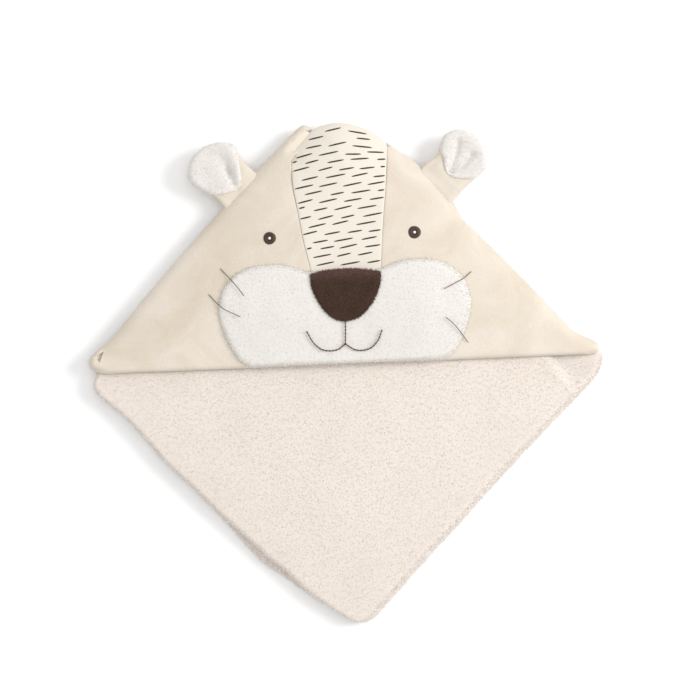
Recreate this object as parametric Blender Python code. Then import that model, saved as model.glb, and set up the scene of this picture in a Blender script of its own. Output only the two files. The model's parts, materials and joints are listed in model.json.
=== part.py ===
"""Hooded baby towel, folded in four on a table with its animal-face hood on top.

Metres, +Z up.  The origin is on the table under the middle of the folded square, whose corners point
along X and Y: the hood covers the +Y half and its open front edge runs along X.  The terry square is
folded twice, first along the lower left edge and then along the lower right one, so four layers lie in
the stack.  The top two (with the hood) open like a book about the lower right edge, and each ear swings
up about the seam that holds it.
"""
import math

import bmesh
import bpy
from mathutils import Matrix, Vector

# The terry square and its stack of four layers
TOWEL_SIDE = 0.762
TERRY = 0.004
LAYER_GAP = 0.0005
BOTTOM_CORNER = 0.032
SIDE_CORNER = 0.044
TOP_CORNER = 0.060
FOLD_ROLL_LIFT = 0.0005

# The hood: its outline, its layers and the room for a head under it
HOOD_OVERHANG = 0.0047
HOOD_END_CUT = 0.020
CROWN_RADIUS = 0.077
POCKET_HEIGHT = 0.0115
POCKET_RISE = 0.080
LINING = 0.0018
VELOUR = 0.0025
SEAM_ROLL = 0.0034
STRIPE_HALF_FRONT = 0.030
STRIPE_HALF_CROWN = 0.052
GAP = 0.0003

# The face: white muzzle, dark nose, sewn eyes, mouth and whiskers
PLUSH = 0.003
MUZZLE_HALF = 0.1257
MUZZLE_TOP = 0.102
NOSE_HALF = 0.035
NOSE_TOP = 0.0945
NOSE_TIP = 0.043
MOUTH_LOW = 0.0135
MOUTH_HALF = 0.037
MOUTH_JOIN = 0.0206
MOUTH_THREAD = 0.0007
EYE_X = 0.0722
EYE_Y = 0.1285
EYE_RING = 0.00625
EYE_DOT = 0.0017
WHISKER_THREAD = 0.0004

# The ears, each a plush front and a velour back round thin wadding
EAR_ALONG = 0.0555
EAR_LENGTH = 0.059
EAR_HALF = 0.026
EAR_BASE_HALF = 0.0235
EAR_FACE = 0.0025
EAR_PUFF = 0.0024
EAR_RIM = 0.010
EAR_SEAT = 0.0002

CELL = 0.012
DIAGONAL = math.sqrt(0.5)

FOLDED = TOWEL_SIDE / 2
STACK = 4 * TERRY + 3 * LAYER_GAP
FOLD_HEIGHT = STACK / 2
HOOD_REACH = (FOLDED / 2 + HOOD_OVERHANG) / DIAGONAL
HOOD_HALF_WIDTH = HOOD_REACH - HOOD_END_CUT
CROWN_CENTRE = HOOD_REACH - CROWN_RADIUS / DIAGONAL
HEM_RADIUS = (LINING + GAP + VELOUR) / 2
HOOD_FLOOR = STACK + GAP
PANEL_UNDER = LINING + GAP
PANEL_TOP = PANEL_UNDER + VELOUR
MUZZLE_UNDER = PANEL_TOP + GAP
MUZZLE_SURFACE = MUZZLE_UNDER + PLUSH
NOSE_UNDER = MUZZLE_SURFACE + GAP
PANEL_FRONT = 2 * HEM_RADIUS + GAP
PANEL_INSET = 2 * SEAM_ROLL + GAP

TERRY_CREAM = ("terry_cream", (0.86, 0.79, 0.70), 0.95)
VELOUR_BEIGE = ("velour_beige", (0.78, 0.66, 0.53), 0.85)
COTTON_CREAM = ("cotton_cream", (0.87, 0.81, 0.70), 0.80)
JERSEY_LINING = ("jersey_lining", (0.84, 0.77, 0.67), 0.90)
PLUSH_WHITE = ("plush_white", (0.88, 0.85, 0.80), 0.95)
PLUSH_BROWN = ("plush_brown", (0.07, 0.038, 0.026), 0.90)
THREAD_BROWN = ("thread_brown", (0.06, 0.035, 0.026), 0.60)
THREAD_WHITE = ("thread_white", (0.90, 0.88, 0.84), 0.55)
WADDING = ("wadding", (0.93, 0.93, 0.92), 1.00)


def material(finish):
    name, colour, roughness = finish
    made = bpy.data.materials.get(name)
    if made is None:
        made = bpy.data.materials.new(name)
        made.use_nodes = True
        shader = made.node_tree.nodes["Principled BSDF"]
        shader.inputs["Base Color"].default_value = (*colour, 1)
        shader.inputs["Roughness"].default_value = roughness
        shader.inputs["Metallic"].default_value = 0
    return made


def collection(name):
    made = bpy.data.collections.new(name)
    bpy.context.scene.collection.children.link(made)
    return made


def finish_piece(piece, finish):
    piece.data.materials.append(material(finish))
    towel_parts.objects.link(piece)
    return piece


def mesh_of(curve_object):
    """The curve's evaluated shape as a closed mesh object; the curve is removed."""
    towel_parts.objects.link(curve_object)
    evaluated = curve_object.evaluated_get(bpy.context.evaluated_depsgraph_get())
    mesh = bpy.data.meshes.new_from_object(evaluated)
    name, place = curve_object.name, evaluated.matrix_world.copy()
    bpy.data.objects.remove(curve_object)
    made = bpy.data.objects.new(name, mesh)
    made.matrix_world = place
    bm = bmesh.new()
    bm.from_mesh(mesh)
    bmesh.ops.remove_doubles(bm, verts=bm.verts, dist=0.00001)
    bmesh.ops.recalc_face_normals(bm, faces=bm.faces)
    bm.to_mesh(mesh)
    bm.free()
    return made


def flat_outline(name, points, low, high):
    """A prism between two heights with the outline's points, as a filled flat curve."""
    curve = bpy.data.curves.new(name, "CURVE")
    curve.dimensions = "2D"
    curve.fill_mode = "BOTH"
    curve.extrude = (high - low) / 2
    spline = curve.splines.new("POLY")
    spline.points.add(len(points) - 1)
    for spline_point, (x, y) in zip(spline.points, points):
        spline_point.co = (x, y, 0, 1)
    spline.use_cyclic_u = True
    made = bpy.data.objects.new(name, curve)
    made.location.z = (low + high) / 2
    return made


def cutter(name, points, low=-0.05, high=0.15):
    made = mesh_of(flat_outline(name, points, low, high))
    made.hide_render = True
    made.display_type = "WIRE"
    cutters.objects.link(made)
    return made


def keep_inside(piece, *outlines):
    for outline in outlines:
        boolean = piece.modifiers.new(outline.name, "BOOLEAN")
        boolean.operation = "INTERSECT"
        boolean.object = outline
    return piece


def slab(name, finish, corner, opposite, low, high, cell=CELL):
    """A sheet between the heights low(x, y) and high(x, y), over whole cells of one common grid."""
    first = [math.floor(c / cell) for c in corner]
    last = [math.ceil(c / cell) for c in opposite]
    across, along = (b - a for a, b in zip(first, last))
    bm = bmesh.new()
    bmesh.ops.create_grid(bm, x_segments=across, y_segments=along, size=1)
    bmesh.ops.triangulate(bm, faces=bm.faces, quad_method="FIXED")
    bottom = list(bm.verts)
    grown = bmesh.ops.extrude_face_region(bm, geom=bm.faces[:])
    top = [g for g in grown["geom"] if isinstance(g, bmesh.types.BMVert)]
    for verts, height in ((bottom, low), (top, high)):
        for v in verts:
            v.co.x = cell * (first[0] + across * (v.co.x + 1) / 2)
            v.co.y = cell * (first[1] + along * (v.co.y + 1) / 2)
            v.co.z = height(v.co.x, v.co.y)
    bmesh.ops.recalc_face_normals(bm, faces=bm.faces)
    mesh = bpy.data.meshes.new(name)
    bm.to_mesh(mesh)
    bm.free()
    return finish_piece(bpy.data.objects.new(name, mesh), finish)


def thread(name, finish, points, radius):
    """A round thread or roll along the points, with closed ends."""
    curve = bpy.data.curves.new(name, "CURVE")
    curve.dimensions = "3D"
    curve.bevel_depth = radius
    curve.bevel_resolution = 2
    curve.use_fill_caps = True
    spline = curve.splines.new("POLY")
    spline.points.add(len(points) - 1)
    for spline_point, point in zip(spline.points, points):
        spline_point.co = (*point, 1)
    return finish_piece(bpy.data.objects.new(name, curve), finish)


def through(points, steps):
    """A smooth open line through the points, steps short runs between neighbours."""
    ends = [Vector(p) for p in points]
    ends = [2 * ends[0] - ends[1], *ends, 2 * ends[-1] - ends[-2]]
    line = []
    for a, b, c, d in zip(ends, ends[1:], ends[2:], ends[3:]):
        for i in range(steps):
            t = i / steps
            line.append(
                (2 * b + (c - a) * t + (2 * a - 5 * b + 4 * c - d) * t * t
                 + (3 * b - a - 3 * c + d) * t ** 3) / 2
            )
    return line + [ends[-2]]


def mirrored(points):
    return [Vector((-x, y)) for x, y in reversed([tuple(p) for p in points])]


def arc(centre, radius, start, end, steps):
    """Points from angle start to angle end, in degrees, both ends included."""
    angles = [math.radians(start + (end - start) * i / steps) for i in range(steps + 1)]
    return [Vector((centre[0] + radius * math.cos(a), centre[1] + radius * math.sin(a)))
            for a in angles]


def turned_square(half, radii, steps=6):
    """A square standing on one corner, half from its middle to each side, with rounded corners."""
    points = []
    for quarter, radius in enumerate(radii):
        heading = -90 + 90 * quarter
        reach = (half - radius) / DIAGONAL
        centre = [reach * math.cos(math.radians(heading)), reach * math.sin(math.radians(heading))]
        points += arc(centre, radius, heading - 45, heading + 45, steps)
    return points


def short_of_roll(points):
    """The same outline, kept short of the roll that all four layers turn round in."""
    toward_roll = Vector((1, -1)).normalized()
    limit = FOLDED / 2 - FOLD_HEIGHT + FOLD_ROLL_LIFT - LAYER_GAP
    return [p - toward_roll * max(0.0, p.dot(toward_roll) - limit) for p in points]


def beside_edge(outward, height=0.0, distance=0.0, along=0.0):
    """A frame on a side of the folded square: X along the side, Y outward and Z up."""
    out = Vector(outward).normalized()
    side = out.cross(Vector((0, 0, 1)))
    place = out * distance + side * along + Vector((0, 0, height))
    return Matrix.Translation(place) @ Matrix((side, out, (0, 0, 1))).transposed().to_4x4()


def hood_inset(x, y):
    """How far a point lies inside the hood's outer edge, in plan."""
    sides = (HOOD_REACH - abs(x) - y) * DIAGONAL
    if y - CROWN_CENTRE > abs(x):
        sides = CROWN_RADIUS - math.hypot(x, y - CROWN_CENTRE)
    return max(0.0, min(sides, HOOD_HALF_WIDTH - abs(x)))


def hood_under(x, y):
    """Height of the hood lining's underside: flat at the seam, raised over the room for a head."""
    reach = min(1.0, hood_inset(x, y) / POCKET_RISE)
    return HOOD_FLOOR + POCKET_HEIGHT * (1 - (1 - reach) ** 2)


def above_lining(offset):
    return lambda x, y: hood_under(x, y) + offset


def hood_outline(inset, front):
    """The hood's edge, moved in by inset, from the right end over the crown to the left end."""
    half = HOOD_HALF_WIDTH - inset
    reach = HOOD_REACH - inset / DIAGONAL
    right = [Vector((half, front)), Vector((half, reach - half))]
    crown = arc((0, CROWN_CENTRE), CROWN_RADIUS - inset, 45, 135, 12)
    return right + crown + mirrored(right)


def stripe_half(y):
    """Half the width of the forehead stripe, which widens evenly from the front edge to the crown."""
    crown = CROWN_CENTRE + CROWN_RADIUS
    return STRIPE_HALF_FRONT + (STRIPE_HALF_CROWN - STRIPE_HALF_FRONT) * y / crown


def seated(piece, x, y, offset):
    """Lays a piece on the hood at a point, offset above the lining's underside, turned to its slope."""
    step = 0.001
    slope_x = (hood_under(x + step, y) - hood_under(x - step, y)) / (2 * step)
    slope_y = (hood_under(x, y + step) - hood_under(x, y - step)) / (2 * step)
    normal = Vector((-slope_x, -slope_y, 1)).normalized()
    piece.rotation_mode = "QUATERNION"
    piece.rotation_quaternion = normal.to_track_quat("Z", "Y")
    piece.location = Vector((x, y, hood_under(x, y) + offset))
    return piece


def folded_pair(name, low):
    """Two layers of the towel joined by the first fold, which runs along the lower left side."""
    turn = TERRY + LAYER_GAP / 2
    middle = low + turn
    side = FOLDED / 2
    outer = arc((side - turn, middle), turn, -90, 90, 8)
    inner = arc((side - turn, middle), LAYER_GAP / 2, 90, -90, 4)
    far = -side
    profile = [Vector((far, low)), *outer, Vector((far, low + 2 * turn)),
               Vector((far, low + 2 * turn - TERRY)), *inner, Vector((far, low + TERRY))]
    sheet = mesh_of(flat_outline(name, profile, -side, side))
    fold = Vector((-1, -1, 0)).normalized()
    up = Vector((0, 0, 1))
    sheet.data.transform(Matrix((fold, up, fold.cross(up))).transposed().to_4x4()
                         @ Matrix.Translation(sheet.location))
    sheet.location = (0, 0, 0)
    return keep_inside(finish_piece(sheet, TERRY_CREAM), towel_edge)


def fold_roll(name):
    """The strip that all four layers turn round in, along the lower right side."""
    roll = FOLD_HEIGHT - FOLD_ROLL_LIFT
    centre = FOLDED / 2 - roll
    outer = arc((centre, FOLD_HEIGHT), roll, -90, 90, 10)
    inner = arc((centre, FOLD_HEIGHT), LAYER_GAP, 90, -90, 4)
    end = SIDE_CORNER + LAYER_GAP
    start = BOTTOM_CORNER + LAYER_GAP
    strip = mesh_of(flat_outline(name, outer + inner, -FOLDED / 2 + end, FOLDED / 2 - start))
    fold = Vector((1, -1, 0)).normalized()
    up = Vector((0, 0, 1))
    strip.data.transform(Matrix((fold, up, fold.cross(up))).transposed().to_4x4()
                         @ Matrix.Translation(strip.location))
    strip.location = (0, 0, 0)
    return finish_piece(strip, TERRY_CREAM)


def hinge_empty(name, frame):
    made = bpy.data.objects.new(name, None)
    made.matrix_world = frame
    towel_parts.objects.link(made)
    return made


def side_seam(name, side):
    """The rolled seam allowance that joins the hood to one side of the towel's corner."""
    inset = SEAM_ROLL
    half = HOOD_HALF_WIDTH - inset
    reach = HOOD_REACH - inset / DIAGONAL
    crown = arc((0, CROWN_CENTRE), CROWN_RADIUS - inset, 45, 90, 8)
    crown[-1].x = GAP
    end = Vector((half, reach - half))
    straight = [end, (end + crown[0]) / 2]
    line = [(side * p.x, p.y, HOOD_FLOOR + SEAM_ROLL) for p in straight + crown]
    return thread(name, VELOUR_BEIGE, line, SEAM_ROLL)


def front_hem():
    """The rolled hem along the hood's open front edge."""
    half = HOOD_HALF_WIDTH - 2 * HEM_RADIUS
    count = 24
    xs = [half * (2 * i / count - 1) for i in range(count + 1)]
    line = [(x, HEM_RADIUS, hood_under(x, HEM_RADIUS) + HEM_RADIUS) for x in xs]
    return thread("hood_front_hem", VELOUR_BEIGE, line, HEM_RADIUS)


def hood():
    edge = cutter("hood_edge", hood_outline(PANEL_INSET, PANEL_FRONT))
    corner = (-HOOD_HALF_WIDTH, 0)
    opposite = (HOOD_HALF_WIDTH, CROWN_CENTRE + CROWN_RADIUS)
    keep_inside(slab("hood_lining", JERSEY_LINING, corner, opposite,
                     above_lining(0), above_lining(LINING)), edge)
    top = opposite[1]
    front, crown = stripe_half(0), stripe_half(top)
    stripe_edge = cutter("stripe_edge", [(-front, 0), (front, 0), (crown, top), (-crown, top)])
    keep_inside(slab("forehead_stripe", COTTON_CREAM, (-crown, 0), (crown, top),
                     above_lining(PANEL_UNDER), above_lining(PANEL_TOP)), edge, stripe_edge)
    wide = 2 * HOOD_HALF_WIDTH
    for name, side in (("left", -1), ("right", 1)):
        cheek = [(front + GAP, 0), (wide, 0), (wide, top), (crown + GAP, top)]
        half = cutter(f"cheek_{name}", [(side * x, y) for x, y in cheek])
        ends = sorted((side * front, side * HOOD_HALF_WIDTH))
        keep_inside(slab(f"hood_panel_{name}", VELOUR_BEIGE, (ends[0], 0), (ends[1], top),
                         above_lining(PANEL_UNDER), above_lining(PANEL_TOP)), edge, half)
        side_seam(f"hood_side_seam_{name}", side)
    front_hem()


def muzzle_half_outline():
    """The right half of the muzzle's edge, from the front hem up round the cheek to the nose."""
    return through([(0.0955, PANEL_FRONT), (0.1125, 0.018), (0.1229, 0.0378), (MUZZLE_HALF, 0.0595),
                    (0.1150, 0.0860), (0.0950, 0.0985), (0.0742, MUZZLE_TOP), (0.0520, 0.1000),
                    (NOSE_HALF, 0.0926)], 3)


def nose_half_outline():
    """The right half of the nose's edge, from its top corner down to its rounded point."""
    return through([(NOSE_HALF, NOSE_TOP - 0.0025), (NOSE_HALF * 0.985, 0.0800), (0.0270, 0.0600),
                    (0.0130, NOSE_TIP + 0.0045), (0, NOSE_TIP)], 4)


def face():
    muzzle_edge = muzzle_half_outline()
    keep_inside(
        slab("muzzle", PLUSH_WHITE, (-MUZZLE_HALF, 0), (MUZZLE_HALF, MUZZLE_TOP),
             above_lining(MUZZLE_UNDER), above_lining(MUZZLE_SURFACE)),
        cutter("muzzle_edge", muzzle_edge + mirrored(muzzle_edge)))
    nose_edge = nose_half_outline()
    nose_corner = nose_edge[0].y
    nose_top = through([(-NOSE_HALF, nose_corner), (0, NOSE_TOP), (NOSE_HALF, nose_corner)], 4)[1:-1]
    keep_inside(
        slab("nose", PLUSH_BROWN, (-NOSE_HALF, NOSE_TIP), (NOSE_HALF, NOSE_TOP),
             above_lining(NOSE_UNDER), above_lining(NOSE_UNDER + PLUSH)),
        cutter("nose_edge", nose_edge + mirrored(nose_edge)[1:] + nose_top))
    mouth()
    for name, side in (("left", -1), ("right", 1)):
        eye(name, side)
    whiskers()


def mouth():
    """A stem below the nose and two smiling curves, sewn in thick thread on the muzzle."""
    lift = NOSE_UNDER + MOUTH_THREAD

    def laid(points):
        return [(x, y, hood_under(x, y) + lift) for x, y in points]

    stem_top = NOSE_TIP - MOUTH_THREAD - GAP
    stem = [(0, stem_top + (MOUTH_JOIN - stem_top) * i / 4) for i in range(5)]
    thread("mouth_stem", THREAD_BROWN, laid(stem), MOUTH_THREAD)
    clear = 2 * MOUTH_THREAD + GAP
    smile = through([(clear, MOUTH_JOIN - clear), (MOUTH_HALF * 0.43, MOUTH_LOW),
                     (MOUTH_HALF * 0.78, 0.0190), (MOUTH_HALF, 0.0325)], 4)
    for name, side in (("left", -1), ("right", 1)):
        thread(f"mouth_curve_{name}", THREAD_BROWN, laid([(side * x, y) for x, y in smile]),
               MOUTH_THREAD)


def eye(name, side):
    """A sewn ring with a light dot in it."""
    inner = EYE_DOT + GAP
    thick = (EYE_RING - inner) / 2
    flatten = 0.45
    bpy.ops.mesh.primitive_torus_add(major_radius=EYE_RING - thick, minor_radius=thick,
                                     major_segments=24, minor_segments=8)
    ring = taken_from_scene(f"eye_ring_{name}", THREAD_BROWN, flatten)
    seated(ring, side * EYE_X, EYE_Y, MUZZLE_UNDER + thick * flatten)
    bpy.ops.mesh.primitive_uv_sphere_add(radius=EYE_DOT, segments=12, ring_count=6)
    dot = taken_from_scene(f"eye_dot_{name}", THREAD_WHITE, flatten)
    seated(dot, side * EYE_X, EYE_Y, MUZZLE_UNDER + EYE_DOT * flatten)


def taken_from_scene(name, finish, flatten):
    piece = bpy.context.object
    piece.name = name
    piece.data.transform(Matrix.Scale(flatten, 4, (0, 0, 1)))
    piece.data.shade_smooth()
    for holder in list(piece.users_collection):
        holder.objects.unlink(piece)
    return finish_piece(piece, finish)


def whiskers():
    """Two fine threads on each cheek, sewn from the velour in to the muzzle; no two bend alike."""
    for name, points in (
        ("left_upper", [(-0.1226, 0.1006), (-0.1082, 0.0839), (-0.0997, 0.0721)]),
        ("left_lower", [(-0.1353, 0.0755), (-0.1221, 0.0612), (-0.1042, 0.0515)]),
        ("right_upper", [(0.1271, 0.0872), (0.1172, 0.0797), (0.0988, 0.0707)]),
        ("right_lower", [(0.1211, 0.0165), (0.1085, 0.0341), (0.0993, 0.0427)]),
    ):
        line = through(points, 5)
        rests = [MUZZLE_SURFACE if inside_muzzle(p.x, p.y) else PANEL_TOP for p in line]
        laid = []
        for i, p in enumerate(line):
            rest = max(rests[max(0, i - 1):i + 2])
            laid.append((p.x, p.y, hood_under(p.x, p.y) + rest + GAP + WHISKER_THREAD))
        thread(f"whisker_{name}", THREAD_BROWN, laid, WHISKER_THREAD)


def inside_muzzle(x, y, margin=0.0015):
    """Whether a point on a cheek is on the muzzle or within the margin of its edge."""
    edge = muzzle_half_outline()
    crossings = [a.x + (b.x - a.x) * (y - a.y) / (b.y - a.y)
                 for a, b in zip(edge, edge[1:]) if (a.y - y) * (b.y - y) < 0]
    return bool(crossings) and abs(x) < max(crossings) + margin


def ear_outline(inset):
    """The ear in plan, base first: straight at the seam, then two sides and a round end."""
    centre = EAR_LENGTH - EAR_HALF
    base = EAR_BASE_HALF - inset
    return [Vector((-base, EAR_SEAT + inset)), Vector((base, EAR_SEAT + inset)),
            *arc((0, centre), EAR_HALF - inset, -5, 185, 16)]


def ear_inset(x, y):
    """How far a point lies inside the ear's edge; the base counts as open."""
    centre = EAR_LENGTH - EAR_HALF
    if y > centre:
        return max(0.0, EAR_HALF - math.hypot(x, y - centre))
    half = EAR_BASE_HALF + (EAR_HALF - EAR_BASE_HALF) * y / centre
    return max(0.0, half - abs(x))


def ear(name, outward):
    """One ear on its hinge: the frame's X is the seam line that the ear swings about."""
    middle = -(EAR_FACE + EAR_PUFF + GAP)
    reach = FOLDED / 2 + HOOD_OVERHANG + GAP
    along = EAR_ALONG if outward[0] < 0 else -EAR_ALONG
    axis_height = HOOD_FLOOR + SEAM_ROLL - middle
    hinge = hinge_empty(f"ear_{name}_hinge", beside_edge(outward, axis_height, reach, along))

    def puff(x, y):
        t = min(1.0, ear_inset(x, y) / EAR_RIM)
        return EAR_PUFF * (1 - (1 - t) ** 2)

    low, high = (-EAR_HALF, 0), (EAR_HALF, EAR_LENGTH)
    cell = EAR_LENGTH / 8
    edge = cutter(f"ear_{name}_edge", ear_outline(0))
    core = cutter(f"ear_{name}_core", ear_outline(EAR_FACE))
    layers = (
        ("front", PLUSH_WHITE, edge, lambda x, y: middle + GAP / 2 + puff(x, y),
         lambda x, y: middle + GAP / 2 + puff(x, y) + EAR_FACE),
        ("back", VELOUR_BEIGE, edge, lambda x, y: middle - GAP / 2 - puff(x, y) - EAR_FACE,
         lambda x, y: middle - GAP / 2 - puff(x, y)),
        ("wadding", WADDING, core, lambda x, y: middle - max(0.0002, puff(x, y) - GAP),
         lambda x, y: middle + max(0.0002, puff(x, y) - GAP)),
    )
    for layer, finish, outline, bottom, top in layers:
        piece = slab(f"ear_{name}_{layer}", finish, low, high, bottom, top, cell)
        piece.parent = hinge
        keep_inside(piece, outline)
    for outline in (edge, core):
        outline.parent = hinge


for old in list(bpy.data.objects):
    bpy.data.objects.remove(old)
towel_parts = collection("hooded_baby_towel")
cutters = collection("cutters")
corner_radii = (BOTTOM_CORNER, SIDE_CORNER, TOP_CORNER, SIDE_CORNER)
towel_edge = cutter("towel_edge", short_of_roll(turned_square(FOLDED / 2, corner_radii)))

folded_pair("towel_lower_half", 0)
folded_pair("towel_upper_half", STACK / 2 + LAYER_GAP / 2)
fold_roll("towel_fold_roll")
hood()
face()
ear("left", (-1, 1, 0))
ear("right", (1, 1, 0))

book_frame = beside_edge((1, -1, 0), FOLD_HEIGHT, FOLDED / 2)
opens = [o for o in towel_parts.objects
         if o.parent is None and o.name not in ("towel_lower_half", "towel_fold_roll")]
book_hinge = hinge_empty("book_fold_hinge", book_frame)
for piece in opens:
    piece.parent = book_hinge
    piece.matrix_parent_inverse = book_frame.inverted()
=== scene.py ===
"""Hooded baby towel, folded in four, dressed in its cloth, plush and thread."""
import json
import math
import random

import bmesh
import bpy
import numpy as np
from mathutils import Matrix, Vector, noise
from mathutils.geometry import delaunay_2d_cdt


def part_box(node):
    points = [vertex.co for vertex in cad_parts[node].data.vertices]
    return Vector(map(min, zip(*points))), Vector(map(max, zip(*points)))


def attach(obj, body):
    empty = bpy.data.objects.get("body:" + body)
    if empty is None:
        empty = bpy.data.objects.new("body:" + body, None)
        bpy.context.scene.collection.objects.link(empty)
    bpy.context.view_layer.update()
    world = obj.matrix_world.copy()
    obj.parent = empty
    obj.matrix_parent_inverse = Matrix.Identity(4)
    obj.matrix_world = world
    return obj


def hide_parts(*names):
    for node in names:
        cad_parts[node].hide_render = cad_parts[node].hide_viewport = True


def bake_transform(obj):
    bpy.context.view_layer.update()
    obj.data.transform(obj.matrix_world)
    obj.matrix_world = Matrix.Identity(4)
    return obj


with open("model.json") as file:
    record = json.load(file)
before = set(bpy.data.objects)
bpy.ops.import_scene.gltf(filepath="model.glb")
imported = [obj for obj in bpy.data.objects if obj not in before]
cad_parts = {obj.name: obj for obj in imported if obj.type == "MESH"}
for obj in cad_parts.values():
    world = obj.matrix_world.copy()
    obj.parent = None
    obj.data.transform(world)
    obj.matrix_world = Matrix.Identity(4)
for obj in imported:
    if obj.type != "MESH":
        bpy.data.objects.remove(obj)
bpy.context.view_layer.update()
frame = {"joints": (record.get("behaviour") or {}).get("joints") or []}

# ---------------------------------------------------------------- table, light and camera
# A plain pale table top under soft studio light: a broad window to the upper right, fill all round.
# The camera looks straight down and is turned a little, as the towel was laid a little askew.
PICTURE_WIDTH = 0.700
CAMERA_HEIGHT = 2.6
LAID_ASKEW = math.radians(2.4)
LOOK_AT = (0.0031, 0.0139)


def adder(tree):
    """A function that adds a node to the tree, with its settings, and joins or sets its inputs."""
    def add(kind, settings=None, **inputs):
        node = tree.nodes.new(kind)
        for key, value in (settings or {}).items():
            setattr(node, key, value)
        for key, value in inputs.items():
            socket = node.inputs[key.replace("_", " ")]
            if isinstance(value, bpy.types.NodeSocket):
                tree.links.new(value, socket)
            else:
                socket.default_value = value
        return node

    return add


def node_material(name, **look):
    """A new material with the fixed values of its look, and functions that add nodes, feed the shader
    and make a grain that is fixed to the piece."""
    made = bpy.data.materials.new(name)
    made.use_nodes = True
    add = adder(made.node_tree)
    shader = made.node_tree.nodes["Principled BSDF"]
    for key, value in look.items():
        shader.inputs[key.replace("_", " ")].default_value = value

    def feed(key, socket):
        made.node_tree.links.new(socket, shader.inputs[key])

    def grain(scale, **inputs):
        where = add("ShaderNodeTexCoord").outputs["Object"]
        return add("ShaderNodeTexNoise", Vector=where, Scale=scale, **inputs).outputs["Fac"]

    return made, add, feed, grain


bpy.ops.mesh.primitive_plane_add(size=12, location=(0, 0, -0.0004))
table = bpy.context.object
table.name = "table_top"
table_paint = node_material("table_white", Base_Color=(0.93, 0.93, 0.93, 1), Roughness=0.9,
                            Specular_IOR_Level=0.1)[0]
table.data.materials.append(table_paint)


def soft_light(name, place, size, power):
    lamp = bpy.data.lights.new(name, "AREA")
    lamp.shape = "DISK"
    lamp.size = size
    lamp.energy = power
    made = bpy.data.objects.new(name, lamp)
    made.location = place
    made.rotation_mode = "QUATERNION"
    made.rotation_quaternion = Vector(place).to_track_quat("Z", "Y")
    bpy.context.scene.collection.objects.link(made)


soft_light("window", (2.1, 0.45, 1.75), 1.3, 46)
soft_light("overhead", (-0.1, 0.4, 2.9), 2.4, 22)
world = bpy.data.worlds.new("studio")
world.use_nodes = True
world.node_tree.nodes["Background"].inputs["Color"].default_value = (1, 1, 1, 1)
world.node_tree.nodes["Background"].inputs["Strength"].default_value = 0.72
bpy.context.scene.world = world
bpy.context.scene.view_settings.view_transform = "Standard"

camera = bpy.data.cameras.new("camera")
camera.sensor_width = 36
camera.lens = camera.sensor_width * CAMERA_HEIGHT / PICTURE_WIDTH
camera.clip_end = 30
viewer = bpy.data.objects.new("camera", camera)
viewer.location = (*LOOK_AT, CAMERA_HEIGHT)
viewer.rotation_euler = (0, 0, -LAID_ASKEW)
bpy.context.scene.collection.objects.link(viewer)
bpy.context.scene.camera = viewer

# ---------------------------------------------------------------- the terry square
# One square of looped cotton terry, folded in four: first along the lower left edge, then along the
# lower right one.  It is one cloth, so the upper half turns smoothly out of the second fold.
book = next(j for j in frame["joints"] if j["name"] == "book_fold")
SIDE = 2 * Vector(book["pos_m"][:2]).length
MID = book["pos_m"][2]
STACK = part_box("towel_upper_half")[1].z
TERRY = 0.0038
PAIR = STACK / 8
TURN = STACK / 4
ROOT2 = math.sqrt(2)
INWARD = Vector((1, 1)).normalized(), Vector((-1, 1)).normalized()
TOWEL_LOW_CORNER = Vector((0, -SIDE / ROOT2))
# Each corner's radius, and whether it is at the far end of the first and of the second side.
CORNERS = (0.025, False, False), (0.038, False, True), (0.038, True, False), (0.092, True, True)
LEFT_BOW = 0.0025
RIGHT_BOW = 0.0022


def bent(length, radius, height):
    """A strip bent round a half turn: how far in it lies and how high, from its length past the fold."""
    quarter = math.pi * radius / 2
    if abs(length) < quarter:
        angle = length / radius
        return radius - (radius + height) * math.cos(angle), (radius + height) * math.sin(angle)
    return radius + abs(length) - quarter, math.copysign(radius + height, length)


def rounded(u, v, radius):
    """Moves a point of a square corner, measured in from its two sides, into a rounded one."""
    if u >= radius or v >= radius:
        return u, v
    a, b = 1 - u / radius, 1 - v / radius
    return (radius * (1 - a * math.sqrt(1 - b * b / 2)), radius * (1 - b * math.sqrt(1 - a * a / 2)))


def soft_wave(x, y, size, seed):
    return noise.noise(Vector((x / size, y / size, seed)))


def near(value, middle, width):
    return math.exp(-((value - middle) / width) ** 2)


def eased(t):
    t = min(1.0, max(0.0, t))
    return t * t * (3 - 2 * t)


HOLLOW_DEPTH = 0.0050
HOLLOW_LIP = 0.0012


def hollow(p):
    """The dip by the right corner, where the top layer slackens under the end of the hood."""
    crease = (p.x - 0.2000) * 0.82 + (p.y + 0.0010) * 0.57
    fade = eased((0.2620 - p.x) / 0.030) * eased((p.y + 0.0330) / 0.012)
    sunk = HOLLOW_DEPTH * eased(crease / 0.004) * (0.25 + 0.75 * near(crease, 0.004, 0.022))
    return fade * (sunk - HOLLOW_LIP * near(crease, -0.004, 0.006))


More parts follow.
